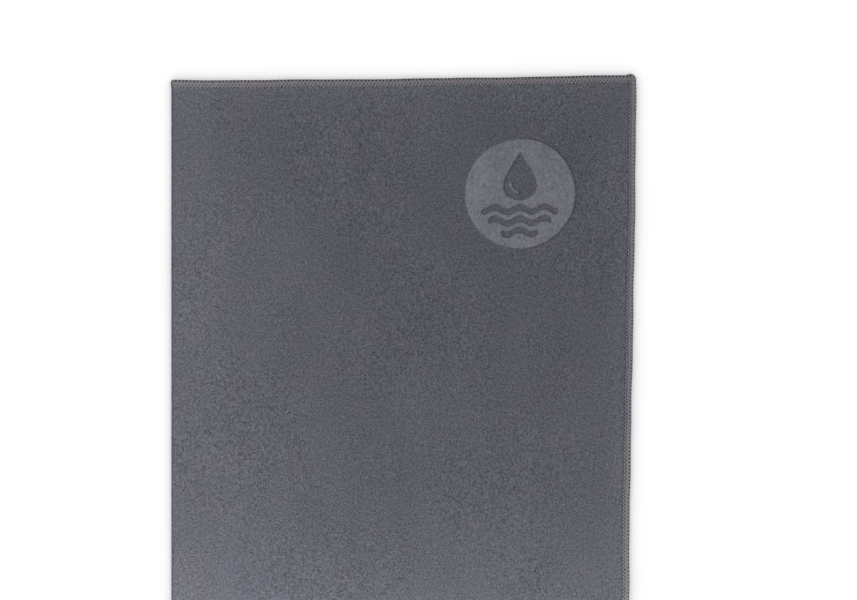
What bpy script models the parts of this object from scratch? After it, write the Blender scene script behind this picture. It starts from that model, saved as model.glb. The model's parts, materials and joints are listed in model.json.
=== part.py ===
"""Quick dry microfibre towel, folded once across its length.

The cloth's face is outside: it is the top of the upper half and the underside of the lower half.
The fold runs along Y at the low-X end. X is the folded length, Y the width, and Z = 0 is the floor.
All sizes are in metres.
"""
import math

import bmesh
import bpy
from mathutils import Matrix, Vector

# The towel, laid flat and measured over its hems
TOWEL_LENGTH = 0.673
TOWEL_WIDTH = 0.406
CLOTH_THICKNESS = 0.0008
CORNER_RADIUS = 0.003

# Overlock hem
HEM_WIDTH = 0.005
THREAD_THICKNESS = 0.0003
NEEDLE_ROW_WIDTH = 0.0006

# Fit between pieces that touch on the real towel
CLEARANCE = 0.0003

# How far the upper half reaches past the lower one at the end hem
END_OVERHANG = 0.001

# Round motif, pressed into the face at the rear end corner of the upper half
DISC_DIAMETER = 0.080
DISC_DEPTH = 0.00025
DISC_FROM_END = 0.083
DISC_FROM_REAR = 0.086
DROP_HEIGHT = 0.035
DROP_WIDTH = 0.024
DROP_RISE = 0.013
DROP_TAPER = 1.5
GLINT_RADIUS = 0.0068
GLINT_THICKNESS = 0.0024
WAVE_HALF_LENGTHS = (0.028, 0.023, 0.0135)
WAVE_PITCH = 0.0083
WAVE_DROP = 0.0115
WAVE_THICKNESS = 0.0044
WAVE_AMPLITUDE = 0.0017
WAVE_PERIOD = 0.018

# Care label, sewn to the back of the lower half
LABEL_LENGTH = 0.034
LABEL_WIDTH = 0.020
LABEL_THICKNESS = 0.0003
LABEL_FROM_END = 0.060
LABEL_SEAM_WIDTH = 0.0008
LABEL_SEAM_INSET = 0.003

# Steps of the round shapes
BEND_STEPS = 10
CORNER_STEPS = 5
DISC_STEPS = 72
DROP_STEPS = 28
GLINT_STEPS = 6
WAVE_STEPS_PER_PERIOD = 12

# Heights of the cloth's middle surface in each half
HEM_BUILD = THREAD_THICKNESS + CLEARANCE
LAYER_THICKNESS = CLOTH_THICKNESS + 2 * HEM_BUILD
LAYER_PITCH = LAYER_THICKNESS + CLEARANCE
LOWER_Z = LAYER_THICKNESS / 2
UPPER_Z = LOWER_Z + LAYER_PITCH

# The fold is half a turn of the cloth round a line at mid-height
FOLD_RADIUS = LAYER_PITCH / 2
FOLD_Z = (LOWER_Z + UPPER_Z) / 2
FOLD_ARC = math.pi * FOLD_RADIUS
UPPER_LENGTH = (TOWEL_LENGTH - FOLD_ARC + END_OVERHANG) / 2
LOWER_LENGTH = UPPER_LENGTH - END_OVERHANG
FOLDED_LENGTH = UPPER_LENGTH + FOLD_RADIUS + CLOTH_THICKNESS / 2 + HEM_BUILD
FOLD_X = FOLDED_LENGTH / 2 - UPPER_LENGTH

# Opened out, both halves lie level and the bend becomes the strip between them
HINGE_POINT = Vector((FOLD_X - FOLD_ARC / 2, 0, FOLD_Z))

# side is +1 where the cloth's face looks up, and -1 where it looks down
HALVES = {
    "upper": {"z": UPPER_Z, "length": UPPER_LENGTH, "side": 1},
    "lower": {"z": LOWER_Z, "length": LOWER_LENGTH, "side": -1},
}
LONG_HEMS = {"rear": 1, "front": -1}

CLOTH_COLOUR = (0.095, 0.100, 0.120, 1.0)
THREAD_COLOUR = (0.155, 0.140, 0.155, 1.0)
LABEL_COLOUR = (0.720, 0.715, 0.700, 1.0)


def clear_scene():
    for old in list(bpy.data.objects):
        bpy.data.objects.remove(old, do_unlink=True)


def new_collection(name):
    collection = bpy.data.collections.new(name)
    bpy.context.scene.collection.children.link(collection)
    return collection


def material(name, colour, roughness):
    made = bpy.data.materials.new(name)
    made.use_nodes = True
    shader = made.node_tree.nodes["Principled BSDF"]
    shader.inputs["Base Color"].default_value = colour
    shader.inputs["Roughness"].default_value = roughness
    shader.inputs["Metallic"].default_value = 0.0
    made.diffuse_color = colour
    return made


def arc(centre, radius, start, end, steps):
    """Points of an arc in its own plane, both ends included."""
    points = []
    for i in range(steps + 1):
        turn = start + (end - start) * i / steps
        points.append((centre[0] + radius * math.cos(turn), centre[1] + radius * math.sin(turn)))
    return points


def outline_object(name, outline, thickness, collection):
    """A flat closed outline in XY, extruded evenly to both sides of Z = 0."""
    curve = bpy.data.curves.new(name, "CURVE")
    curve.dimensions = "2D"
    curve.fill_mode = "BOTH"
    curve.extrude = thickness / 2
    spline = curve.splines.new("POLY")
    spline.points.add(len(outline) - 1)
    for point, (x, y) in zip(spline.points, outline):
        point.co = (x, y, 0, 1)
    spline.use_cyclic_u = True
    made = bpy.data.objects.new(name, curve)
    collection.objects.link(made)
    return made


def as_mesh(source):
    """The curve object's evaluated shape as a mesh object with welded caps, in the same place."""
    bpy.context.view_layer.update()
    evaluated = source.evaluated_get(bpy.context.evaluated_depsgraph_get())
    mesh = bpy.data.meshes.new_from_object(evaluated)
    welded = bmesh.new()
    welded.from_mesh(mesh)
    bmesh.ops.remove_doubles(welded, verts=welded.verts, dist=1e-6)
    welded.to_mesh(mesh)
    welded.free()
    name, matrix, collection = source.name, source.matrix_world.copy(), source.users_collection[0]
    bpy.data.objects.remove(source, do_unlink=True)
    made = bpy.data.objects.new(name, mesh)
    made.matrix_world = matrix
    collection.objects.link(made)
    return made


def boolean(target, cutter, operation):
    modifier = target.modifiers.new(f"{operation.lower()}_{cutter.name}", "BOOLEAN")
    modifier.operation = operation
    modifier.solver = "EXACT"
    modifier.object = cutter


def hide_cutter(cutter):
    cutter.hide_render = True
    cutter.display_type = "WIRE"


def finish(piece, look, parent):
    """Gives the piece its material and hangs it on its half's empty without moving it."""
    piece.data.materials.clear()
    piece.data.materials.append(look)
    bpy.context.view_layer.update()
    placed = piece.matrix_world.copy()
    piece.parent = parent
    piece.matrix_parent_inverse = parent.matrix_world.inverted()
    piece.matrix_world = placed
    return piece


def cloth_outline(length):
    """A half's cloth from the fold to its end, inside its hem threads, with round end corners."""
    half_width = TOWEL_WIDTH / 2 - HEM_BUILD
    end = FOLD_X + length - HEM_BUILD
    radius = CORNER_RADIUS - HEM_BUILD
    start = FOLD_X + CLEARANCE
    outline = [(start, half_width), (start, -half_width)]
    outline += arc((end - radius, radius - half_width), radius, -math.pi / 2, 0, CORNER_STEPS)
    outline += arc((end - radius, half_width - radius), radius, 0, math.pi / 2, CORNER_STEPS)
    return outline


def looper_profile(on_face):
    """Section of a looper thread round the hem's edge.

    The first coordinate runs in from the edge, and the second is the height over the cloth's
    middle surface. The thread lies flat on the cloth and turns down over its edge as far as the
    other looper thread, which meets it there.
    """
    top = CLOTH_THICKNESS / 2 + HEM_BUILD
    under = top - THREAD_THICKNESS
    meeting = CLEARANCE / 2
    flat_width = HEM_WIDTH
    if on_face:
        flat_width -= NEEDLE_ROW_WIDTH + CLEARANCE
    profile = [(flat_width, top), (flat_width, under), (THREAD_THICKNESS, under)]
    profile += [(THREAD_THICKNESS, meeting), (0, meeting)]
    profile += arc((THREAD_THICKNESS, under), THREAD_THICKNESS, math.pi, math.pi / 2, 3)
    return profile


def needle_profile():
    """Section of the needle thread's row, which lies on the face along the hem's inner side."""
    top = CLOTH_THICKNESS / 2 + HEM_BUILD
    under = top - THREAD_THICKNESS
    return [(HEM_WIDTH, top), (HEM_WIDTH, under), (HEM_WIDTH - NEEDLE_ROW_WIDTH, under),
            (HEM_WIDTH - NEEDLE_ROW_WIDTH, top)]


# Each thread's section, and which side of the cloth it lies on: 1 is the face
THREADS = {
    "needle_thread": (needle_profile, 1),
    "face_looper": (lambda: looper_profile(True), 1),
    "back_looper": (lambda: looper_profile(False), -1),
}


def long_hem_threads(half_name, half, pieces, look, parent):
    """The threads along the two long edges, from the fold to the inner side of the end hem."""
    start = FOLD_X + CLEARANCE
    end = FOLD_X + half["length"] - HEM_WIDTH - CLEARANCE
    for hem, edge_side in LONG_HEMS.items():
        for thread, (profile, cloth_side) in THREADS.items():
            height_side = cloth_side * half["side"]
            section = [
                (edge_side * (TOWEL_WIDTH / 2 - inward), half["z"] + height_side * height)
                for inward, height in profile()
            ]
            piece = outline_object(
                f"{half_name}_{hem}_hem_{thread}", section, end - start, pieces
            )
            # Section X and Y become world Y and Z, and the run lies along world X
            piece.matrix_world = Matrix.Translation(((start + end) / 2, 0, 0)) @ Matrix(
                ((0, 0, 1, 0), (1, 0, 0, 0), (0, 1, 0, 0), (0, 0, 0, 1))
            )
            finish(piece, look, parent)


def end_hem_threads(half_name, half, pieces, look, parent, trim):
    """The threads across the end, sewn last, so they run the full width to the rounded corners."""
    end = FOLD_X + half["length"]
    for thread, (profile, cloth_side) in THREADS.items():
        height_side = cloth_side * half["side"]
        section = [
            (end - inward, half["z"] + height_side * height) for inward, height in profile()
        ]
        piece = outline_object(f"{half_name}_end_hem_{thread}", section, TOWEL_WIDTH, pieces)
        # Section X and Y become world X and Z, and the run lies along world Y
        piece.matrix_world = Matrix(((1, 0, 0, 0), (0, 0, -1, 0), (0, 1, 0, 0), (0, 0, 0, 1)))
        piece = as_mesh(piece)
        boolean(piece, trim, "INTERSECT")
        finish(piece, look, parent)


def spun_half_turn(name, section, collection):
    """A section in the XZ plane's far side, spun half a turn round the fold's line.

    The section's coordinates are the place along Y and the distance from the fold's line.
    """
    mesh = bpy.data.meshes.new(name)
    shape = bmesh.new()
    verts = [shape.verts.new((FOLD_X, y, FOLD_Z + radius)) for y, radius in section]
    face = shape.faces.new(verts)
    bmesh.ops.spin(
        shape, geom=[face], axis=(0, 1, 0), cent=(FOLD_X, 0, FOLD_Z),
        angle=-math.pi, steps=BEND_STEPS,
    )
    bmesh.ops.recalc_face_normals(shape, faces=shape.faces)
    shape.to_mesh(mesh)
    shape.free()
    made = bpy.data.objects.new(name, mesh)
    collection.objects.link(made)
    return made


def fold_pieces(pieces, cloth_look, thread_look, parent):
    """The cloth and the hem threads where they turn round the fold, face side out."""
    half_width = TOWEL_WIDTH / 2 - HEM_BUILD
    inner = FOLD_RADIUS - CLOTH_THICKNESS / 2
    outer = FOLD_RADIUS + CLOTH_THICKNESS / 2
    section = [(-half_width, inner), (half_width, inner), (half_width, outer), (-half_width, outer)]
    finish(spun_half_turn("fold_cloth", section, pieces), cloth_look, parent)
    for hem, edge_side in LONG_HEMS.items():
        for thread, (profile, cloth_side) in THREADS.items():
            section = [
                (edge_side * (TOWEL_WIDTH / 2 - inward), FOLD_RADIUS + cloth_side * height)
                for inward, height in profile()
            ]
            finish(spun_half_turn(f"fold_{hem}_hem_{thread}", section, pieces), thread_look, parent)


def drop_outline():
    """A water drop, point up, about its own centre."""
    turns = [2 * math.pi * i / DROP_STEPS for i in range(DROP_STEPS)]
    across = [math.sin(turn) * math.sin(turn / 2) ** DROP_TAPER for turn in turns]
    scale = DROP_WIDTH / (max(across) - min(across))
    return [(-a * scale, math.cos(t) * DROP_HEIGHT / 2) for a, t in zip(across, turns)]


def glint_outline():
    """A curved band inside the drop's round end, on its left, about the drop's centre."""
    belly = (0, (DROP_WIDTH - DROP_HEIGHT) / 2)
    start, end = math.radians(175), math.radians(265)
    outer = arc(belly, GLINT_RADIUS + GLINT_THICKNESS / 2, start, end, GLINT_STEPS)
    inner = arc(belly, GLINT_RADIUS - GLINT_THICKNESS / 2, end, start, GLINT_STEPS)
    return outer + inner


def wave_outline(half_length):
    """A level band with a sine line for its middle."""
    steps = max(4, round(2 * half_length / WAVE_PERIOD * WAVE_STEPS_PER_PERIOD))
    xs = [half_length * (2 * i / steps - 1) for i in range(steps + 1)]
    line = [(x, WAVE_AMPLITUDE * math.cos(2 * math.pi * x / WAVE_PERIOD)) for x in xs]
    below = [(x, y - WAVE_THICKNESS / 2) for x, y in line]
    above = [(x, y + WAVE_THICKNESS / 2) for x, y in reversed(line)]
    return below + above


def motif_cutter(name, outline, centre, height, cutters):
    motif = outline_object(name, outline, height, cutters)
    motif.location = centre
    motif = as_mesh(motif)
    hide_cutter(motif)
    return motif


def pressed_disc(cutters):
    """The cutters that press the disc round a standing drop and its waves, and the drop's glint."""
    depth = 2 * DISC_DEPTH
    centre = Vector((
        FOLD_X + UPPER_LENGTH - DISC_FROM_END,
        TOWEL_WIDTH / 2 - DISC_FROM_REAR,
        UPPER_Z + CLOTH_THICKNESS / 2,
    ))
    bpy.ops.mesh.primitive_cylinder_add(
        vertices=DISC_STEPS, radius=DISC_DIAMETER / 2, depth=depth, location=centre
    )
    disc = bpy.context.object
    disc.name = "disc_cutter"
    for collection in list(disc.users_collection):
        collection.objects.unlink(disc)
    cutters.objects.link(disc)
    drop_centre = centre + Vector((0, DROP_RISE, 0))
    through = 3 * depth
    drop = motif_cutter("drop_cutter", drop_outline(), drop_centre, through, cutters)
    glint = motif_cutter("glint_cutter", glint_outline(), drop_centre, depth, cutters)
    boolean(disc, drop, "DIFFERENCE")
    for row, half_length in enumerate(WAVE_HALF_LENGTHS):
        wave_centre = centre - Vector((0, WAVE_DROP + row * WAVE_PITCH, 0))
        wave = motif_cutter(
            f"wave_{row + 1}_cutter", wave_outline(half_length), wave_centre, through, cutters
        )
        boolean(disc, wave, "DIFFERENCE")
    hide_cutter(disc)
    return disc, glint


def cloth_half(half_name, half, pieces, look, parent):
    cloth = outline_object(
        f"{half_name}_cloth", cloth_outline(half["length"]), CLOTH_THICKNESS, pieces
    )
    cloth.location.z = half["z"]
    cloth = as_mesh(cloth)
    return finish(cloth, look, parent)


def corner_trim(half_name, half, cutters):
    """What is kept of an end hem: all of it but what lies outside the two rounded corners."""
    half_width = TOWEL_WIDTH / 2
    end = FOLD_X + half["length"]
    radius = CORNER_RADIUS
    outline = [(FOLD_X, half_width + radius), (FOLD_X, -half_width - radius)]
    outline += [(end - radius, -half_width - radius)]
    outline += arc((end - radius, radius - half_width), radius, -math.pi / 2, 0, CORNER_STEPS)
    outline += [(end + radius, radius - half_width), (end + radius, half_width - radius)]
    outline += arc((end - radius, half_width - radius), radius, 0, math.pi / 2, CORNER_STEPS)
    outline += [(end - radius, half_width + radius)]
    trim = outline_object(f"{half_name}_corner_trim", outline, 2 * LAYER_THICKNESS, cutters)
    trim.location.z = half["z"]
    trim = as_mesh(trim)
    hide_cutter(trim)
    return trim


def care_label(pieces, label_look, thread_look, parent):
    """A label on the back of the lower half, beside the front hem, with the seam that holds it."""
    centre_x = FOLD_X + LOWER_LENGTH - LABEL_FROM_END
    near_y = -TOWEL_WIDTH / 2 + HEM_WIDTH + CLEARANCE
    half_length = LABEL_LENGTH / 2
    outline = [(-half_length, 0), (half_length, 0), (half_length, LABEL_WIDTH), (-half_length, LABEL_WIDTH)]
    label = outline_object("care_label", outline, LABEL_THICKNESS, pieces)
    label_z = LOWER_Z + CLOTH_THICKNESS / 2 + CLEARANCE + LABEL_THICKNESS / 2
    label.location = (centre_x, near_y, label_z)
    finish(label, label_look, parent)
    seam_outline = [
        (x, y + LABEL_SEAM_INSET)
        for x, y in [(-half_length, 0), (half_length, 0), (half_length, LABEL_SEAM_WIDTH),
                     (-half_length, LABEL_SEAM_WIDTH)]
    ]
    seam = outline_object("care_label_seam", seam_outline, THREAD_THICKNESS, pieces)
    seam.location = (
        centre_x, near_y, label_z + (LABEL_THICKNESS + THREAD_THICKNESS) / 2 + CLEARANCE
    )
    finish(seam, thread_look, parent)


def build():
    clear_scene()
    pieces = new_collection("quick_dry_towel")
    cutters = new_collection("cutters")
    cloth_look = material("towel_cloth", CLOTH_COLOUR, 0.95)
    thread_look = material("hem_thread", THREAD_COLOUR, 0.80)
    label_look = material("care_label", LABEL_COLOUR, 0.60)

    lower_half = bpy.data.objects.new("lower_half", None)
    upper_half = bpy.data.objects.new("upper_half", None)
    upper_half.location = HINGE_POINT
    for empty in (lower_half, upper_half):
        pieces.objects.link(empty)
    upper_half.parent = lower_half
    bpy.context.view_layer.update()
    parents = {"upper": upper_half, "lower": lower_half}

    for half_name, half in HALVES.items():
        parent = parents[half_name]
        cloth = cloth_half(half_name, half, pieces, cloth_look, parent)
        if half_name == "upper":
            for cutter in pressed_disc(cutters):
                boolean(cloth, cutter, "DIFFERENCE")
        long_hem_threads(half_name, half, pieces, thread_look, parent)
        trim = corner_trim(half_name, half, cutters)
        end_hem_threads(half_name, half, pieces, thread_look, parent, trim)
    fold_pieces(pieces, cloth_look, thread_look, lower_half)
    care_label(pieces, label_look, thread_look, lower_half)


build()
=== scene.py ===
"""Looks of the quick dry towel: one sheet of brushed microfibre, folded once, with overlocked hems.

The cloth and every hem thread are made flat, in the towel's own coordinates, and then placed by
lay(). Flat coordinates are a, along the towel's length with 0 at the fold, b, across its width,
and n, out of the cloth's face. The half with a above 0 is the upper one.
"""
import json
import math

import bmesh
import bpy
import numpy as np
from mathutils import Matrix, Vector


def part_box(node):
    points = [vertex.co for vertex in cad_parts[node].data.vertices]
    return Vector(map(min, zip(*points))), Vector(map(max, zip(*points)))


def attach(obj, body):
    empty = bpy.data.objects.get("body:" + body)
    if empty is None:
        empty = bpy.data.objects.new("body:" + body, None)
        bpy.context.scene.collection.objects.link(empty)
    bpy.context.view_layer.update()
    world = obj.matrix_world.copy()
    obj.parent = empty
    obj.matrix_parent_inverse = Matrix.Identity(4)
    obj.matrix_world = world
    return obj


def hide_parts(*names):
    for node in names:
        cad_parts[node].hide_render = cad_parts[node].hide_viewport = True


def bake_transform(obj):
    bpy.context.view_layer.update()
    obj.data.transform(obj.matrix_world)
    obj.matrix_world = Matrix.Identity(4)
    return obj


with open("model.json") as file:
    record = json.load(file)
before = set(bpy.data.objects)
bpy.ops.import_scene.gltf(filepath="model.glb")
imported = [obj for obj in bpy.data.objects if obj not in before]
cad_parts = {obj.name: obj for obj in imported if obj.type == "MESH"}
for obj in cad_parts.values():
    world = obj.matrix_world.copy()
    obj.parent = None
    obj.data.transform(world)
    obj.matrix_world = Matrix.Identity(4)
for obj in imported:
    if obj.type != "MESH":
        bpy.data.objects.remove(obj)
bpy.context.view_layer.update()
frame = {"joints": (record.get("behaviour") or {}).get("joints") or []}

MM = 0.001

# ---------------------------------------------------------------- sizes read from the frame
UPPER_END_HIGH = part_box("upper_end_hem_face_looper")[1]
LOWER_END_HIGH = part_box("lower_end_hem_face_looper")[1]
UPPER_CLOTH_LOW, UPPER_CLOTH_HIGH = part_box("upper_cloth")
LOWER_CLOTH_LOW, LOWER_CLOTH_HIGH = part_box("lower_cloth")
LABEL_LOW, LABEL_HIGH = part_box("care_label")
HINGE_X = frame["joints"][0]["pos_m"][0]

HALF_WIDTH = UPPER_END_HIGH.y
FOLD_X = UPPER_CLOTH_LOW.x
UPPER_LENGTH = UPPER_END_HIGH.x - FOLD_X
LOWER_LENGTH = LOWER_END_HIGH.x - FOLD_X
UPPER_Z = (UPPER_CLOTH_HIGH.z + UPPER_CLOTH_LOW.z) / 2
LOWER_Z = (LOWER_CLOTH_HIGH.z + LOWER_CLOTH_LOW.z) / 2
HALF_ARC = FOLD_X - HINGE_X

# ---------------------------------------------------------------- sizes of the looks
CLOTH_THICKNESS = 0.8 * MM
HEM_WIDTH = 5.0 * MM
CORNER_RADIUS = 3.0 * MM
STITCH_PITCH = 2.64 * MM

# How far the cloth's own edge stays inside the stitches that wrap it
CLOTH_INSET = 0.45 * MM

# The needle's line draws the cloth down a little: how deep, how far past the hem, how widely
SEAM_DENT = 0.02 * MM
SEAM_DENT_FROM_HEM = 0.7 * MM
SEAM_DENT_REACH = 1.3 * MM

# How the cut departs from a rectangle: the long edges draw in towards the fold, and the end
# leans in towards the front corner
EDGE_DRAW_IN = 3.9 * MM
EDGE_DRAW_POWER = 1.9
END_LEAN = 5.2 * MM

# The fold is a soft nose, longer than it is high
NOSE_LENGTH = 1.9 * MM

# Air under the upper half, as low waves
LIFT = 1.0 * MM

# The lowest that thread under the towel reaches
GROUND = 0.02 * MM

# The pressed disc. DISC_EDGE is how wide the slope at its edges is
DISC_RADIUS = 40.2 * MM
DISC_FROM_END = 83.5 * MM
DISC_FROM_REAR = 85.3 * MM
DISC_DEPTH = 0.55 * MM
DISC_EDGE = 0.9 * MM

# How much thinner the cloth is where it is pressed, so that little shows on its wrong side
PRESSED_AWAY = 0.45 * MM

# Painted light: the cloth is painted a little lighter towards the hems, as in the photo, and this is
# how gradually
NEAR_HEM_REACH = 16 * MM

rng = np.random.default_rng(7)


# ---------------------------------------------------------------- from flat to folded
def waves(x, y):
    """Low, broad waves between 0 and 1."""
    w = 0.40 * np.sin(2 * np.pi * (x / 0.171 + y / 0.390) + 0.7)
    w += 0.34 * np.sin(2 * np.pi * (x / 0.262 - y / 0.153) + 2.1)
    w += 0.18 * np.sin(2 * np.pi * (x / 0.093 + y / 0.117) + 4.0)
    return 0.5 + 0.5 * w


def seam_wander(x, y):
    """Small sideways drift, as a cut and sewn edge has."""
    dx = 0.16 * np.sin(2 * np.pi * y / 0.087 + 1.0) + 0.10 * np.sin(2 * np.pi * y / 0.039 + x * 9)
    dy = 0.15 * np.sin(2 * np.pi * x / 0.101 + 2.0) + 0.09 * np.sin(2 * np.pi * x / 0.043 + y * 7)
    return dx * MM, dy * MM


def middle(a, b):
    """The cloth's middle surface at flat (a, b), as an array of points."""
    a, b = np.broadcast_arrays(np.asarray(a, float), np.asarray(b, float))
    turn = np.clip((a + HALF_ARC) / (2 * HALF_ARC), 0, 1) * np.pi
    out = np.maximum(np.abs(a) - HALF_ARC, 0)
    share = np.clip(out / UPPER_LENGTH, 0, 1)
    from_rear = np.clip((HALF_WIDTH - b) / (2 * HALF_WIDTH), 0, 1)
    lean = END_LEAN * from_rear ** 2 * (3 - 2 * from_rear)
    x = out * (1 - lean / UPPER_LENGTH)
    y = b * (1 - EDGE_DRAW_IN * (1 - share ** EDGE_DRAW_POWER) / HALF_WIDTH)
    dx, dy = seam_wander(x, y)
    x = FOLD_X + x + dx * share - NOSE_LENGTH * np.sin(turn)
    y = y + dy
    high = UPPER_Z + LIFT * waves(x, y)
    low = LOWER_Z + 0 * x
    z = (high + low) / 2 - (high - low) / 2 * np.cos(turn)
    return np.stack([x, y, z], axis=-1)


def lay(flat):
    """Places flat points (a, b, n) on the folded towel. Threads under it flatten on the ground."""
    flat = np.asarray(flat, float)
    a, b, n = flat[:, 0], flat[:, 1], flat[:, 2]
    step = 0.05 * MM
    along = middle(a + step, b) - middle(a - step, b)
    across = middle(a, b + step) - middle(a, b - step)
    normal = np.cross(along, across)
    normal /= np.linalg.norm(normal, axis=1)[:, None]
    placed = middle(a, b) + normal * n[:, None]
    placed[:, 2] = np.maximum(placed[:, 2], GROUND)
    return placed


# ---------------------------------------------------------------- the pressed motif
DROP_HEIGHT, DROP_WIDTH, DROP_RISE, DROP_TAPER = 35 * MM, 24 * MM, 13 * MM, 1.5
GLINT_RADIUS, GLINT_THICKNESS = 6.8 * MM, 2.4 * MM
GLINT_BEARING, GLINT_HALF_SWEEP = 220, 45
WAVE_HALF_LENGTHS = (28 * MM, 23 * MM, 13.5 * MM)
WAVE_PITCH, WAVE_DROP, WAVE_THICKNESS = 8.3 * MM, 11.5 * MM, 4.4 * MM
WAVE_AMPLITUDE, WAVE_PERIOD = 1.7 * MM, 18 * MM
DISC_A = HALF_ARC + UPPER_LENGTH - DISC_FROM_END
DISC_B = HALF_WIDTH - DISC_FROM_REAR


def inside(distance):
    """1 well inside an edge, 0 well outside it, with a ramp DISC_EDGE wide."""
    return np.clip(0.5 - distance / DISC_EDGE, 0, 1)


def drop_mask(x, y):
    """A drop, point up, about its own centre, less the glint in its round end."""
    turn = np.arccos(np.clip(y / (DROP_HEIGHT / 2), -1, 1))
    widest = max(
        math.sin(t) * math.sin(t / 2) ** DROP_TAPER for t in np.linspace(0, math.pi, 200)
    )
    half = DROP_WIDTH / 2 * np.sin(turn) * np.sin(turn / 2) ** DROP_TAPER / widest
    drop = inside(np.maximum(np.abs(x) - half, np.abs(y) - DROP_HEIGHT / 2))
    belly = (DROP_WIDTH - DROP_HEIGHT) / 2
    radius = np.hypot(x, y - belly)
    bearing = np.degrees(np.arctan2(y - belly, x)) % 360
    glint = inside(np.abs(radius - GLINT_RADIUS) - GLINT_THICKNESS / 2)
    glint = glint * (np.abs(bearing - GLINT_BEARING) < GLINT_HALF_SWEEP)
    return drop * (1 - glint)


def wave_mask(x, y, half_length):
    """One round-ended wave line about its own centre."""
    line = WAVE_AMPLITUDE * np.cos(2 * np.pi * x / WAVE_PERIOD)
    past = np.maximum(np.abs(x) - half_length + WAVE_THICKNESS / 2, 0)
    return inside(np.hypot(past, y - line) - WAVE_THICKNESS / 2)


def pressed(a, b):
    """How far the nap is pressed at flat (a, b): 1 in the disc, 0 in its motif and outside."""
    x, y = a - DISC_A, b - DISC_B
    motif = drop_mask(x, y - DROP_RISE)
    for row, half_length in enumerate(WAVE_HALF_LENGTHS):
        motif = np.maximum(motif, wave_mask(x, y + WAVE_DROP + row * WAVE_PITCH, half_length))
    return inside(np.hypot(x, y) - DISC_RADIUS) * (1 - motif)


# ---------------------------------------------------------------- the cloth
def edge_distance(a, b):
    """Distance in from the nearest hemmed edge, in the flat towel."""
    end = np.where(a > 0, UPPER_LENGTH, LOWER_LENGTH) + HALF_ARC - np.abs(a)
    return np.minimum(end, HALF_WIDTH - np.abs(b))


def seam_dent(a, b):
    """The cloth is drawn down along the needle's line."""
    past_hem = edge_distance(a, b) - HEM_WIDTH
    return -SEAM_DENT * np.exp(-(((past_hem - SEAM_DENT_FROM_HEM) / SEAM_DENT_REACH) ** 2))


def refine(shape, wanted, size):
    """Halves the faces that wanted() picks until their edges are no longer than size."""
    while True:
        faces = [f for f in shape.faces if f.edges[0].calc_length() > size * 1.05]
        centres = np.array([f.calc_center_median() for f in faces]).reshape(-1, 3)
        picked = wanted(centres[:, 0], centres[:, 1]) if len(faces) else []
        edges = {e for f, ok in zip(faces, picked) if ok for e in f.edges}
        edges = [e for e in edges if e.calc_length() > size * 1.05]
        if not edges:
            return
        bmesh.ops.subdivide_edges(shape, edges=edges, cuts=1, use_grid_fill=True)


def grid_lines(low, high, closer, step):
    """Lines from low to high about step apart, with closer ones in from each end."""
    first, last = low + closer[-1], high - closer[-1]
    middle_lines = np.linspace(first, last, round((last - first) / step) + 1)
    return np.concatenate([low + closer[:-1], middle_lines, (high - closer[:-1])[::-1]])


def flat_sheet():
    """The whole cloth, flat, in (a, b), fine where it is sewn, pressed or folded."""
    coarse, nose_step, disc_step, disc_margin = 4 * MM, 0.35 * MM, 0.5 * MM, 2 * MM
    by_hem = np.array([0, 1.0, 2.4, 3.6, 4.4, 5.1, 5.8, 6.6, 7.8, 9.6, 12.0]) * MM
    nose = 2 * HALF_ARC
    end_a = UPPER_LENGTH + HALF_ARC - CLOTH_INSET
    upper = grid_lines(nose, end_a, by_hem, coarse)
    upper = upper[(upper == nose) | (upper > nose + by_hem[-1])]
    lower = -upper[::-1] + (UPPER_LENGTH - LOWER_LENGTH)
    lower[-1] = -nose
    fold = np.linspace(-nose, nose, round(2 * nose / nose_step) + 1)[1:-1]
    lines_a = np.concatenate([lower, fold, upper])
    half = HALF_WIDTH - CLOTH_INSET
    lines_b = grid_lines(-half, half, by_hem, coarse)
    shape = bmesh.new()
    rows = [[shape.verts.new((a, b, 0)) for b in lines_b] for a in lines_a]
    for left, right in zip(rows, rows[1:]):
        for i in range(len(lines_b) - 1):
            shape.faces.new((left[i], right[i], right[i + 1], left[i + 1]))

    def by_disc(a, b):
        return np.hypot(a - DISC_A, b - DISC_B) < DISC_RADIUS + disc_margin

    refine(shape, by_disc, disc_step)
    return shape


def round_corners(flat, radius):
    """Draws the points past a corner's round in to it."""
    a_mid = (flat[:, 0].max() + flat[:, 0].min()) / 2
    for side_a, side_b in ((1, 1), (1, -1), (-1, 1), (-1, -1)):
        corner_a = flat[:, 0].max() if side_a > 0 else flat[:, 0].min()
        corner_b = flat[:, 1].max() if side_b > 0 else flat[:, 1].min()
        centre = np.array([corner_a - side_a * radius, corner_b - side_b * radius])
        offset = flat[:, :2] - centre
        beyond = (offset[:, 0] * side_a > 0) & (offset[:, 1] * side_b > 0)
        far = np.hypot(offset[:, 0], offset[:, 1])
        beyond &= (far > radius) & ((flat[:, 0] - a_mid) * side_a > 0)
        flat[beyond, :2] = centre + offset[beyond] * (radius / far[beyond])[:, None]
    return flat


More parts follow.
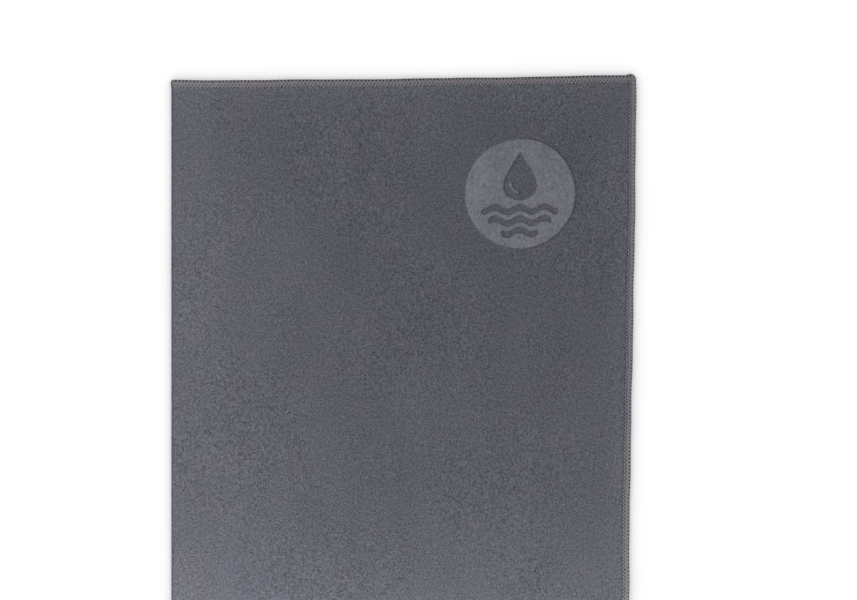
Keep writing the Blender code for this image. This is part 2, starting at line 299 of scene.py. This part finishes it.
def make_cloth():
    """The cloth's face, thickened inwards. Its wrong side takes the second material."""
    shape = flat_sheet()
    mesh = bpy.data.meshes.new("towel_cloth")
    shape.to_mesh(mesh)
    shape.free()
    flat = np.zeros(len(mesh.vertices) * 3)
    mesh.vertices.foreach_get("co", flat)
    flat = round_corners(flat.reshape(-1, 3), CORNER_RADIUS - CLOTH_INSET)
    a, b = flat[:, 0], flat[:, 1]
    press = pressed(a, b)
    flat[:, 2] = CLOTH_THICKNESS / 2 + seam_dent(a, b) - DISC_DEPTH * press
    mesh.vertices.foreach_set("co", lay(flat).astype(np.float32).ravel())
    in_from_edge = edge_distance(a, b)
    # sewn is 1 under the hems and fades out over their last millimetre. It carries painted shade: the
    # cloth under the hems' threads is painted darker
    shades = {
        "pressed": press,
        "sewn": np.clip((HEM_WIDTH + 0.1 * MM - in_from_edge) / MM, 0, 1),
        # near_hem carries the painted light that lightens the cloth near the hems
        "near_hem": np.exp(-np.maximum(in_from_edge - HEM_WIDTH, 0) / NEAR_HEM_REACH),
    }
    for name, values in shades.items():
        mesh.attributes.new(name, "FLOAT", "POINT").data.foreach_set(
            "value", values.astype(np.float32)
        )
    mesh.update()
    mesh.shade_smooth()
    cloth = bpy.data.objects.new("towel_cloth", mesh)
    bpy.context.scene.collection.objects.link(cloth)
    # The group's weight scales the thickness. It is set in steps, each for all its points at once
    pile = cloth.vertex_groups.new(name="pile")
    steps = 12
    level = np.rint(press * steps).astype(int)
    for i in range(steps + 1):
        weight = 1 - i / steps * PRESSED_AWAY / CLOTH_THICKNESS
        pile.add(np.nonzero(level == i)[0].tolist(), weight, "REPLACE")
    thick = cloth.modifiers.new("thickness", "SOLIDIFY")
    thick.thickness, thick.offset = CLOTH_THICKNESS, -1
    thick.vertex_group = pile.name
    thick.material_offset = 1
    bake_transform(cloth)
    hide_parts("upper_cloth", "lower_cloth", "fold_cloth")
    return cloth


# ---------------------------------------------------------------- the overlock hems
# How far along a thread one turn of its plies takes
TWIST_PITCH = 1.1 * MM


class Yarn:
    """Gathers tubes of thread, in flat coordinates, for one piece."""

    def __init__(self):
        self.verts, self.faces, self.twist, self.count = [], [], [], 0

    def tube(self, path, widths, flatness, sides=6):
        """A thread along path, whose points are flat (a, b, n), flattened towards the cloth."""
        path = smooth_path(np.column_stack([path, widths]))
        path, wide = path[:, :3], path[:, 3]
        k = len(path)
        tangent = np.gradient(path, axis=0)
        tangent /= np.linalg.norm(tangent, axis=1)[:, None]
        side = np.cross(np.array([0, 0, 1.0]), tangent)
        length = np.linalg.norm(side, axis=1)[:, None]
        # Where the thread runs nearly straight through the cloth, side is its neighbour's
        side = np.where(length > 0.2, side / np.maximum(length, 1e-9), 0)
        for i in range(1, k):
            if not side[i].any():
                side[i] = side[i - 1]
        for i in range(k - 2, -1, -1):
            if not side[i].any():
                side[i] = side[i + 1]
        up = np.cross(tangent, side)
        up /= np.maximum(np.linalg.norm(up, axis=1)[:, None], 1e-9)
        taper = np.sin(np.linspace(0.12, 0.88, k) * np.pi) ** 0.35
        turn = np.arange(sides) * 2 * np.pi / sides
        across = np.cos(turn)[None, :] * (wide * taper / 2)[:, None]
        upward = np.sin(turn)[None, :] * (wide * flatness * taper / 2)[:, None]
        ring = path[:, None] + side[:, None] * across[..., None] + up[:, None] * upward[..., None]
        base = self.count
        self.verts.append(ring.reshape(-1, 3))
        ids = base + np.arange(k * sides).reshape(k, sides)
        nxt = np.roll(ids, -1, axis=1)
        self.faces += np.stack(
            [ids[:-1], nxt[:-1], nxt[1:], ids[1:]], axis=-1
        ).reshape(-1, 4).tolist()
        self.faces += [ids[0][::-1].tolist(), ids[-1].tolist()]
        run = np.concatenate([[0], np.cumsum(np.linalg.norm(np.diff(path, axis=0), axis=1))])
        twist = run[:, None] / TWIST_PITCH + turn[None, :] / (2 * np.pi)
        self.twist.append(twist.ravel())
        self.count += k * sides

    def piece(self, name, look):
        """Makes one object of all the tubes, laid on the towel."""
        mesh = bpy.data.meshes.new(name)
        verts = lay(np.concatenate(self.verts))
        mesh.from_pydata(verts.tolist(), [], self.faces)
        mesh.attributes.new("twist", "FLOAT", "POINT").data.foreach_set(
            "value", np.concatenate(self.twist).astype(np.float32)
        )
        mesh.shade_smooth()
        mesh.materials.append(look)
        piece = bpy.data.objects.new(name, mesh)
        bpy.context.scene.collection.objects.link(piece)
        return piece


def smooth_path(points, fill=2):
    """A Catmull-Rom curve through points, each stretch between two of them split in fill."""
    padded = np.vstack([2 * points[0] - points[1], points, 2 * points[-1] - points[-2]])
    out = []
    for p0, p1, p2, p3 in zip(padded, padded[1:], padded[2:], padded[3:]):
        for i in range(fill):
            t = i / fill
            out.append(
                0.5 * (2 * p1 + (p2 - p0) * t + (2 * p0 - 5 * p1 + 4 * p2 - p3) * t ** 2
                       + (3 * p1 - p0 - 3 * p2 + p3) * t ** 3)
            )
    out.append(points[-1])
    return np.array(out)


# Each thread's shapes over one stitch, with how flat the thread lies. A point is (s, e, n, w):
# s along the run in stitches, e in from the edge, n out of the face, and w the thread's width
# there, in mm
STITCH = {
    "face_looper": [
        (0.60, [(0.01, 0.10, 0.05, 0.85), (0.04, 0.32, 0.46, 0.74), (0.12, 1.10, 0.62, 1.01),
                (0.28, 2.00, 0.68, 1.40), (0.50, 3.40, 0.66, 1.45), (0.66, 4.30, 0.54, 1.25),
                (0.71, 4.75, 0.10, 0.80)]),
        (0.60, [(0.75, 4.75, 0.10, 0.80), (0.79, 4.30, 0.46, 1.20), (0.88, 3.20, 0.58, 1.40),
                (0.96, 1.90, 0.58, 1.40), (0.99, 1.05, 0.54, 1.01), (1.01, 0.32, 0.40, 0.74),
                (1.02, 0.10, 0.05, 0.85)]),
        (0.90, [(0.12, 0.78, -0.14, 0.46), (0.24, 0.58, -0.22, 0.48), (0.50, 0.48, -0.26, 0.48),
                (0.76, 0.58, -0.22, 0.48), (0.88, 0.78, -0.14, 0.46)]),
    ],
    "back_looper": [
        (0.60, [(0.52, 0.20, -0.15, 0.80), (0.56, 0.50, -0.50, 1.00), (0.70, 1.60, -0.70, 1.40),
                (0.90, 3.10, -0.72, 1.50), (1.08, 4.40, -0.56, 1.15), (1.13, 4.90, -0.15, 0.80)]),
        (0.60, [(1.16, 4.90, -0.15, 0.80), (1.21, 4.20, -0.48, 1.10), (1.33, 2.70, -0.58, 1.40),
                (1.47, 1.10, -0.50, 1.10), (1.55, 0.25, -0.15, 0.80)]),
        (0.90, [(0.62, 0.75, -0.24, 0.48), (0.74, 0.42, -0.32, 0.50), (1.00, 0.30, -0.36, 0.52),
                (1.26, 0.42, -0.32, 0.50), (1.40, 0.75, -0.24, 0.48)]),
    ],
    "needle_thread": [
        (0.70, [(0.90, 4.90, 0.20, 0.50), (0.98, 4.86, 0.54, 0.72), (1.20, 4.84, 0.64, 0.90),
                (1.42, 4.86, 0.56, 0.72), (1.50, 4.90, 0.20, 0.50)]),
        (0.80, [(0.40, 4.70, -0.30, 0.38), (0.46, 4.40, -0.76, 0.42), (0.60, 4.20, -0.84, 0.42),
                (0.74, 4.40, -0.76, 0.42), (0.80, 4.70, -0.30, 0.38)]),
    ],
}


# How unevenly the stitches fall along the run, and how much the thread's width varies, as shares
STITCH_DRIFT, WIDTH_VARIATION = 0.02, 0.05

# A thread wider than STRAND_LIMIT is two strands side by side, each STRAND_WIDTH of its width
STRAND_LIMIT, STRAND_WIDTH = 1 * MM, 0.57

# How far an end hem stands off the cloth where it crosses a long hem's end. The crossing starts
# CROSSING_START in from the towel's long edge and has risen fully CROSSING_RAMP further out
CROSSING_LIFT = 0.30 * MM
CROSSING_START, CROSSING_RAMP = 7.0 * MM, 2.0 * MM

# About how far from the towel's end the long hems' stitches stop, under the end hems
LONG_HEM_MARGIN = HEM_WIDTH - 2.2 * MM

# How far in from an end hem's own two ends its stitches stop, and its wraps sit
END_STITCH_IN, END_WRAP_IN = 0.35 * MM, 0.25 * MM

# The loop that turns over each end of an end hem, as (outwards, e, n, w) in mm
END_WRAP = [(-0.3, 0.7, 0.10, 1.0), (0.10, 1.3, 0.50, 1.3), (0.35, 2.8, 0.62, 1.4),
            (0.15, 4.2, 0.55, 1.3), (-0.3, 4.9, 0.10, 1.0)]


def long_hem(side):
    """Flat place of a point of a long hem. The run goes along +a on the rear edge."""
    def place(s, e):
        return np.stack([side * s, side * (HALF_WIDTH - e)], axis=-1)
    return place


def end_hem(side):
    """Flat place of a point of an end hem, with the corner's round drawn in."""
    length = (UPPER_LENGTH if side > 0 else LOWER_LENGTH) + HALF_ARC
    overhang = 0.4 * MM
    steepest = 0.96 * CORNER_RADIUS

    def place(s, e):
        s = np.clip(s, -overhang, 2 * HALF_WIDTH + overhang)
        near_end = np.minimum(s, 2 * HALF_WIDTH - s)
        past = np.clip(CORNER_RADIUS - near_end, 0, steepest)
        shift = CORNER_RADIUS - np.sqrt(CORNER_RADIUS ** 2 - past ** 2)
        shift = shift * np.clip(1 - e / HEM_WIDTH, 0, 1)
        return np.stack([side * (length - e - shift), side * (HALF_WIDTH - s)], axis=-1)
    return place


def sew(yarns, place, starts, key, lift=None):
    """Adds a stitch at each start to the yarn that key() names for it."""
    for s0 in starts:
        drift = rng.normal(0, STITCH_DRIFT, 2) * STITCH_PITCH
        # The pull on the thread varies slowly, which moves the inner side of the hem in and out
        tension = 0.22 * math.sin(s0 / 0.021) + 0.16 * math.sin(s0 / 0.0087 + 1)
        full = 1 + rng.normal(0, WIDTH_VARIATION)
        for thread, tubes in STITCH.items():
            yarn = yarns[key(s0), thread]
            for flatness, points in tubes:
                points = np.array(points)
                s = s0 + points[:, 0] * STITCH_PITCH + drift[0]
                wide = points[:, 3] * MM * full
                inner = np.clip(points[:, 1] - 1, 0, 1)
                e = points[:, 1] * MM + inner * (drift[1] * 0.6 + tension * 0.5 * MM)
                n = points[:, 2] * MM
                if lift is not None:
                    n = n + np.sign(n) * lift(s)
                strands = 2 if wide.max() > STRAND_LIMIT else 1
                strand_wide = wide * (STRAND_WIDTH if strands > 1 else 1)
                for strand in range(strands):
                    beside = (strand - (strands - 1) / 2) * wide / 2
                    flat = place(s + beside, e)
                    yarn.tube(np.column_stack([flat, n]), strand_wide, flatness)


def sew_hems(looks):
    """All the hems, in one piece for each thread of each run on each part of the towel."""
    yarns = {}
    for half in ("upper", "lower", "fold"):
        for hem in ("rear", "front", "end"):
            for thread in STITCH:
                yarns[f"{half}_{hem}", thread] = Yarn()

    for hem, side in (("rear", 1), ("front", -1)):
        first = -(LOWER_LENGTH if side > 0 else UPPER_LENGTH) - HALF_ARC + LONG_HEM_MARGIN
        last = (UPPER_LENGTH if side > 0 else LOWER_LENGTH) + HALF_ARC - LONG_HEM_MARGIN
        last -= 1.1 * STITCH_PITCH  # a stitch reaches about this far on from its start
        starts = np.linspace(first, last, round((last - first) / STITCH_PITCH) + 1)

        def part(s, hem=hem, side=side):
            # A stitch goes with the fold when some of it can lie on the bend
            reach = HALF_ARC + 1.7 * STITCH_PITCH
            if -reach < s < HALF_ARC + 0.1 * STITCH_PITCH:
                return f"fold_{hem}"
            return f"{'upper' if s * side > 0 else 'lower'}_{hem}"

        sew(yarns, long_hem(side), starts, part)

    def crossing(s):
        near_end = np.minimum(s, 2 * HALF_WIDTH - s)
        return CROSSING_LIFT * np.clip((CROSSING_START - near_end) / CROSSING_RAMP, 0, 1)

    for half, side in (("upper", 1), ("lower", -1)):
        first, last = END_STITCH_IN, 2 * HALF_WIDTH - END_STITCH_IN - STITCH_PITCH
        starts = np.linspace(first, last, round((last - first) / STITCH_PITCH) + 1)
        for at, out in ((END_WRAP_IN, -1), (2 * HALF_WIDTH - END_WRAP_IN, 1)):
            for thread, face in (("face_looper", 1), ("back_looper", -1)):
                wrap = np.array(END_WRAP) * [out * MM, MM, face * MM, MM]
                flat = end_hem(side)(at + wrap[:, 0], wrap[:, 1])
                yarns[f"{half}_end", thread].tube(
                    np.column_stack([flat, wrap[:, 2]]), wrap[:, 3], 0.6
                )
        sew(yarns, end_hem(side), starts, lambda s, half=half: f"{half}_end", crossing)

    pieces = []
    for (run, thread), yarn in yarns.items():
        if not yarn.count:
            continue
        half, hem = run.split("_")
        node = f"{half}_{hem}_hem_{thread}"
        piece = yarn.piece(f"{node}_stitches", looks[thread])
        if half == "fold":
            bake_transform(piece)
        else:
            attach(piece, f"{half}_half")
        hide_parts(node)
        pieces.append(piece)
    return pieces


# ---------------------------------------------------------------- materials
class Nodes:
    """A material's node tree, with short ways to add to it."""

    def __init__(self, name):
        self.material = bpy.data.materials.new(name)
        self.material.use_nodes = True
        self.tree = self.material.node_tree
        self.shader = self.tree.nodes["Principled BSDF"]

    def add(self, kind, inputs=None, **settings):
        node = self.tree.nodes.new(kind)
        for key, value in settings.items():
            setattr(node, key, value)
        for key, value in (inputs or {}).items():
            self.set(node.inputs[key], value)
        return node

    def set(self, socket, value):
        if isinstance(value, bpy.types.NodeSocket):
            self.tree.links.new(value, socket)
        else:
            socket.default_value = value

    def math(self, operation, first, second=0.0, third=0.0):
        node = self.add("ShaderNodeMath", operation=operation)
        for socket, value in zip(node.inputs, (first, second, third)):
            self.set(socket, value)
        return node.outputs[0]

    def noise(self, where, scale, detail=2.0, rough=0.5):
        node = self.add("ShaderNodeTexNoise", {
            "Vector": where, "Scale": scale, "Detail": detail, "Roughness": rough,
        })
        return node.outputs["Fac"]

    def stretched(self, where, scale, turn=0.0):
        node = self.add("ShaderNodeMapping", {
            "Vector": where, "Scale": scale, "Rotation": (0, 0, turn),
        })
        return node.outputs[0]

    def mix(self, share, first, second, blend="MIX"):
        node = self.add("ShaderNodeMix", data_type="RGBA", blend_type=blend)
        self.set(node.inputs["Factor"], share)
        self.set(node.inputs["A"], first)
        self.set(node.inputs["B"], second)
        return node.outputs["Result"]

    def ramp(self, value, low, high, out_low=0.0, out_high=1.0):
        node = self.add("ShaderNodeMapRange", {
            "Value": value, "From Min": low, "From Max": high,
            "To Min": out_low, "To Max": out_high,
        })
        return node.outputs[0]

    def bump(self, height, distance, strength=1.0, normal=None):
        node = self.add("ShaderNodeBump", {
            "Height": height, "Distance": distance, "Strength": strength,
        })
        if normal is not None:
            self.set(node.inputs["Normal"], normal)
        return node.outputs[0]


CLOTH_COLOUR = (0.076, 0.0775, 0.093)
PRESSED_COLOUR = (0.138, 0.141, 0.161)
MAUVE = (0.083, 0.0755, 0.0915)
TEAL = (0.067, 0.0785, 0.0940)
THREAD_COLOUR = (0.172, 0.157, 0.179)
# The needle thread's colour is lighter than the looper thread's: painted highlight, for the bright
# dots its stitches show
NEEDLE_HIGHLIGHT_COLOUR = (0.235, 0.222, 0.238)
SATIN_DARK, SATIN_LIGHT = (0.36, 0.356, 0.345), (0.47, 0.466, 0.452)

# How fine the nap's noises are, from the finest to the broadest, and how strongly each shows
GRAIN_SCALE, MOTTLE_SCALE, STROKE_SCALE, CLOUD_SCALE = 1000, 480, 34, 9
GRAIN_TONE, MOTTLE_TONE, STROKE_TONE, CLOUD_TONE = 2.6, 0.75, 0.24, 0.14
PRESSED_GRAIN_TONE = 1.3

# How fine the other noises are: the nap's patches of other hues and the pressed disc's wear, the
# thread's hairs and uneven tone, and the label's weft and uneven tone
BLOTCH_SCALE, WORN_SCALE = 36, 75
FUZZ_SCALE, UNEVEN_SCALE = 1800, 260
WEFT_SCALE, LABEL_NOISE_SCALE = 900, 400

NAP_ROUGHNESS, PRESSED_ROUGHNESS = 0.92, 0.66

# How much painted shade darkens the slope at the disc's edges
DISC_EDGE_PAINTED_SHADE = 0.34
# How dark the painted shade on the cloth under the hems' threads is
UNDER_HEM_PAINTED_SHADE = 0.22
# How much painted light lightens the cloth near the hems
NEAR_HEM_PAINTED_LIGHT = 1.22

# How deep the bumps of the nap and of the thread's plies look
NAP_RELIEF, THREAD_RELIEF = 0.14 * MM, 0.14 * MM


def shade(colour, share):
    """The colour, lighter or darker by share, as a socket takes it."""
    return tuple(share * c for c in colour) + (1,)


def suede(name, show):
    """Brushed microfibre: a dense short nap with fine grain, soft mottling and broad strokes.
    show is how strongly the pressed disc shows on this side."""
    m = Nodes(name)
    where = m.add("ShaderNodeTexCoord").outputs["Object"]
    press = m.add("ShaderNodeAttribute", attribute_name="pressed").outputs["Fac"]
    press = m.math("MULTIPLY", press, show)
    sewn = m.add("ShaderNodeAttribute", attribute_name="sewn").outputs["Fac"]
    near_hem = m.add("ShaderNodeAttribute", attribute_name="near_hem").outputs["Fac"]
    grain = m.noise(m.stretched(where, (1, 0.85, 1)), GRAIN_SCALE, 1.5, 0.7)
    mottle = m.noise(m.stretched(where, (1, 0.7, 1), 0.5), MOTTLE_SCALE, 2.0, 0.5)
    stroke = m.noise(m.stretched(where, (1, 0.45, 1), -0.25), STROKE_SCALE, 2.0, 0.5)
    cloud = m.noise(where, CLOUD_SCALE, 1.0, 0.5)
    grain_tone = m.ramp(press, 0, 1, GRAIN_TONE, PRESSED_GRAIN_TONE)
    tone = m.math("MULTIPLY_ADD", m.math("SUBTRACT", grain, 0.5), grain_tone, 1.0)
    tone = m.math("MULTIPLY_ADD", m.math("SUBTRACT", mottle, 0.5), MOTTLE_TONE, tone)
    tone = m.math("MULTIPLY_ADD", m.math("SUBTRACT", stroke, 0.5), STROKE_TONE, tone)
    tone = m.math("MULTIPLY_ADD", m.math("SUBTRACT", cloud, 0.5), CLOUD_TONE, tone)
    # Painted shade at the disc's edges: on the face this is 1 half-way down the slope at the disc's
    # edges, and 0 on and off the disc. On the wrong side it darkens the whole disc a little
    slope = m.math("MULTIPLY", m.math("MULTIPLY", press, m.math("SUBTRACT", 1.0, press)), 4.0)
    tone = m.math("MULTIPLY", tone, m.math("MULTIPLY_ADD", slope, -DISC_EDGE_PAINTED_SHADE, 1.0))
    # Painted light on the cloth near the hems
    tone = m.math("MULTIPLY", tone, m.ramp(near_hem, 0, 1, 1.0, NEAR_HEM_PAINTED_LIGHT))
    # Painted shade on the cloth under the hems' threads
    tone = m.math("MULTIPLY", tone, m.ramp(sewn, 0, 1, 1.0, UNDER_HEM_PAINTED_SHADE))
    # Mauve where the blotches are low, and teal where they are high
    blotch = m.noise(m.stretched(where, (1, 1, 1), 1.1), BLOTCH_SCALE, 2.0, 0.5)
    nap = m.mix(m.ramp(blotch, 0.35, 0.5, 0.30, 0.0), shade(CLOTH_COLOUR, 1), shade(MAUVE, 1))
    nap = m.mix(m.ramp(blotch, 0.48, 0.65, 0.0, 0.45), nap, shade(TEAL, 1))
    worn = m.noise(m.stretched(where, (1, 0.8, 1), 0.9), WORN_SCALE, 2.0, 0.6)
    pressed_nap = m.mix(
        m.ramp(worn, 0.3, 0.7), shade(PRESSED_COLOUR, 0.9), shade(PRESSED_COLOUR, 1.1)
    )
    colour = m.mix(press, nap, pressed_nap)
    grey = m.add("ShaderNodeCombineColor", {"Red": tone, "Green": tone, "Blue": tone}).outputs[0]
    m.set(m.shader.inputs["Base Color"], m.mix(1.0, colour, grey, "MULTIPLY"))
    m.set(m.shader.inputs["Roughness"], m.ramp(press, 0, 1, NAP_ROUGHNESS, PRESSED_ROUGHNESS))
    m.shader.inputs["Sheen Weight"].default_value = 0.18
    m.shader.inputs["Sheen Roughness"].default_value = 0.45
    m.shader.inputs["Sheen Tint"].default_value = (0.55, 0.57, 0.64, 1)
    m.shader.inputs["Specular IOR Level"].default_value = 0.3
    height = m.math("MULTIPLY_ADD", grain, 0.7, m.math("MULTIPLY", mottle, 0.6))
    m.set(m.shader.inputs["Normal"], m.bump(height, NAP_RELIEF, 0.6))
    return m.material


def thread_look(name, colour):
    """Textured overlock thread: two soft plies, a little hairy and uneven in tone."""
    m = Nodes(name)
    where = m.add("ShaderNodeTexCoord").outputs["Object"]
    twist = m.add("ShaderNodeAttribute", attribute_name="twist").outputs["Fac"]
    ply = m.math("SINE", m.math("MULTIPLY", twist, 2 * math.pi))
    ply = m.ramp(ply, -1, 1)
    fuzz = m.noise(where, FUZZ_SCALE, 2.0, 0.6)
    uneven = m.noise(where, UNEVEN_SCALE, 1.0, 0.5)
    tone = m.math("MULTIPLY_ADD", ply, 0.35, m.math("MULTIPLY", fuzz, 0.45))
    tone = m.math("ADD", tone, m.math("MULTIPLY", uneven, 0.35))
    m.set(m.shader.inputs["Base Color"],
          m.mix(m.ramp(tone, 0.25, 0.95), shade(colour, 0.78), shade(colour, 1.22)))
    m.shader.inputs["Roughness"].default_value = 0.75
    m.shader.inputs["Sheen Weight"].default_value = 0.2
    m.shader.inputs["Sheen Roughness"].default_value = 0.4
    height = m.math("MULTIPLY_ADD", ply, 0.7, m.math("MULTIPLY", fuzz, 0.4))
    m.set(m.shader.inputs["Normal"], m.bump(height, THREAD_RELIEF, 0.8))
    return m.material


def satin():
    """Woven satin label, off-white, with fine weft lines."""
    m = Nodes("label_satin")
    where = m.add("ShaderNodeTexCoord").outputs["Object"]
    weft = m.add("ShaderNodeTexWave", {
        "Vector": where, "Scale": WEFT_SCALE, "Distortion": 0.6, "Detail": 1.0,
    }, bands_direction="Y").outputs["Fac"]
    uneven = m.noise(where, LABEL_NOISE_SCALE)
    tone = m.math("MULTIPLY_ADD", weft, 0.5, m.math("MULTIPLY", uneven, 0.5))
    m.set(m.shader.inputs["Base Color"],
          m.mix(m.ramp(tone, 0.2, 0.8), shade(SATIN_DARK, 1), shade(SATIN_LIGHT, 1)))
    m.shader.inputs["Roughness"].default_value = 0.45
    m.set(m.shader.inputs["Normal"], m.bump(weft, 0.05 * MM, 0.5))
    return m.material


# ---------------------------------------------------------------- the care label
LABEL_THICKNESS = 0.2 * MM
LABEL_SEAM_IN = 3 * MM
LABEL_STITCH = 2.0 * MM
LABEL_THREAD = 0.40 * MM


def label_point(along, up):
    """Flat point in the middle of the label's thickness. The side near the front hem is sewn down,
    and the free side lifts a little. along and up go from 0 to 1."""
    length, width = LABEL_HIGH.x - LABEL_LOW.x, LABEL_HIGH.y - LABEL_LOW.y
    x, y = LABEL_LOW.x + length * along, LABEL_LOW.y + width * up
    rise = (0.30 + 0.45 * up ** 2 + 0.10 * math.sin(along * 7) * up) * MM
    return FOLD_X - HALF_ARC - x, y, -(CLOTH_THICKNESS / 2 + rise)


def make_label():
    """A blank satin label on the wrong side of the lower half."""
    rows, columns = 14, 22
    points = [label_point(i / columns, j / rows) for i in range(columns + 1) for j in range(rows + 1)]
    faces = [
        (k, k + 1, k + rows + 2, k + rows + 1)
        for i in range(columns) for k in range(i * (rows + 1), i * (rows + 1) + rows)
    ]
    mesh = bpy.data.meshes.new("care_label_satin")
    mesh.from_pydata(lay(points).tolist(), [], faces)
    mesh.shade_smooth()
    mesh.materials.append(satin())
    label = bpy.data.objects.new("care_label_satin", mesh)
    bpy.context.scene.collection.objects.link(label)
    thick = label.modifiers.new("thickness", "SOLIDIFY")
    thick.thickness, thick.offset = LABEL_THICKNESS, 0
    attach(label, "lower_half")
    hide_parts("care_label")
    return label


def sew_label(look):
    """A row of running stitches along the label's sewn side."""
    length, width = LABEL_HIGH.x - LABEL_LOW.x, LABEL_HIGH.y - LABEL_LOW.y
    up = LABEL_SEAM_IN / width
    yarn = Yarn()
    count = round(length / LABEL_STITCH) - 1
    for i in range(count):
        # Where the stitch starts and how long it is, as shares of the label's length
        start, reach = (i + 0.6) / (count + 0.2), 0.62 / (count + 0.2)
        path = []
        for share, lift in ((0, 0.05), (0.15, 0.25), (0.5, 0.34), (0.85, 0.25), (1, 0.05)):
            a, b, n = label_point(start + reach * share, up)
            path.append((a, b, n - lift * MM))
        yarn.tube(path, [LABEL_THREAD] * len(path), 0.8)
    row = yarn.piece("care_label_stitches", look)
    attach(row, "lower_half")
    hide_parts("care_label_seam")
    return row


# ---------------------------------------------------------------- stage, lights and camera
FRAME_WIDTH = 0.6213
CAMERA_HEIGHT = 1.6
VIEW_FROM_END, VIEW_FROM_REAR = 0.15067, 0.1634
SENSOR_WIDTH = 36

# A light straight above its target needs this much lean, to have a definite roll
LEAN = 1e-5

ROOM_LIGHT = 0.5
TABLE_SIZE, TABLE_WHITE = 8, 0.9
OVERHEAD_POWER, OVERHEAD_ANGLE = 1.99, 160
OVERHEAD_PLACE = (0, LEAN, 2)
KEY_POWER, KEY_ANGLE = 3.6, 26
KEY_COLOUR = (0.98, 1.0, 1.0)
KEY_PLACE = (0.92, 0.12, 0.38)
WARM, COOL = (1.0, 0.96, 0.975), (0.965, 1.0, 0.995)

# Each softbox's name, colour, power, size and place
SOFTBOXES = [
    ("left_softbox", WARM, 0.45, (0.03, 0.50), (-0.250, -0.050, 0.140)),
    ("front_softbox", COOL, 0.75, (0.50, 0.03), (0.0, -0.300, 0.150)),
]


def make_stage():
    """A pale table in an even white room, which the camera sees brighter than it lights."""
    bpy.ops.mesh.primitive_plane_add(size=TABLE_SIZE, location=(0, 0, 0))
    floor = bpy.context.object
    floor.name = "floor"
    m = Nodes("floor_white")
    m.shader.inputs["Base Color"].default_value = (TABLE_WHITE,) * 3 + (1,)
    m.shader.inputs["Roughness"].default_value = 1.0
    m.shader.inputs["Specular IOR Level"].default_value = 0.0
    floor.data.materials.append(m.material)
    world = bpy.data.worlds.new("studio")
    bpy.context.scene.world = world
    world.use_nodes = True
    tree = world.node_tree
    back = tree.nodes["Background"]
    back.inputs["Color"].default_value = (1, 1, 1, 1)
    seen = tree.nodes.new("ShaderNodeLightPath").outputs["Is Camera Ray"]
    level = tree.nodes.new("ShaderNodeMapRange")
    level.inputs["To Min"].default_value = ROOM_LIGHT
    tree.links.new(seen, level.inputs["Value"])
    tree.links.new(level.outputs[0], back.inputs["Strength"])
    return floor


def aim(light, place, target, lit):
    """Puts the light in place, facing target, and keeps it off all but the lit collection."""
    light.location = place
    light.rotation_euler = (Vector(target) - Vector(place)).to_track_quat("-Z", "Y").to_euler()
    light.visible_camera = False
    light.light_linking.receiver_collection = lit
    bpy.context.scene.collection.objects.link(light)


def make_lights(pieces, table):
    """A low key light from the right and softboxes over the left and front edges, all three on
    the towel alone, and a broad overhead light on the table alone."""
    lit, ground = bpy.data.collections.new("towel_pieces"), bpy.data.collections.new("table")
    for piece in pieces:
        lit.objects.link(piece)
    ground.objects.link(table)
    overhead = bpy.data.lights.new("overhead", "SUN")
    overhead.energy = OVERHEAD_POWER
    overhead.angle = math.radians(OVERHEAD_ANGLE)
    aim(bpy.data.objects.new("overhead", overhead), OVERHEAD_PLACE, (0, 0, 0), ground)
    key = bpy.data.lights.new("key", "SUN")
    key.energy = KEY_POWER
    key.angle = math.radians(KEY_ANGLE)
    key.color = KEY_COLOUR
    aim(bpy.data.objects.new("key", key), KEY_PLACE, (0, 0, 0), lit)
    for name, colour, power, size, place in SOFTBOXES:
        box = bpy.data.lights.new(name, "AREA")
        box.shape = "RECTANGLE"
        box.size, box.size_y = size
        box.energy = power
        box.color = colour
        aim(bpy.data.objects.new(name, box), place, (place[0], place[1] + LEAN, 0), lit)


def make_camera():
    """Looks straight down near the rear end corner. The picture is FRAME_WIDTH wide there."""
    data = bpy.data.cameras.new("camera")
    data.sensor_width = SENSOR_WIDTH
    data.lens = SENSOR_WIDTH * (CAMERA_HEIGHT - UPPER_Z) / FRAME_WIDTH
    camera = bpy.data.objects.new("camera", data)
    camera.location = (
        UPPER_END_HIGH.x - VIEW_FROM_END, HALF_WIDTH - VIEW_FROM_REAR, CAMERA_HEIGHT
    )
    bpy.context.scene.collection.objects.link(camera)
    bpy.context.scene.camera = camera
    bpy.context.scene.view_settings.view_transform = "Standard"


table = make_stage()
make_camera()
cloth = make_cloth()
cloth.data.materials.append(suede("towel_suede", 1.0))
cloth.data.materials.append(suede("towel_suede_back", 0.12))
looper_look = thread_look("looper_thread", THREAD_COLOUR)
needle_look = thread_look("needle_thread", NEEDLE_HIGHLIGHT_COLOUR)
hem_pieces = sew_hems(
    {"face_looper": looper_look, "back_looper": looper_look, "needle_thread": needle_look}
)
label = make_label()
label_row = sew_label(needle_look)
make_lights([cloth, label, label_row] + hem_pieces, table)
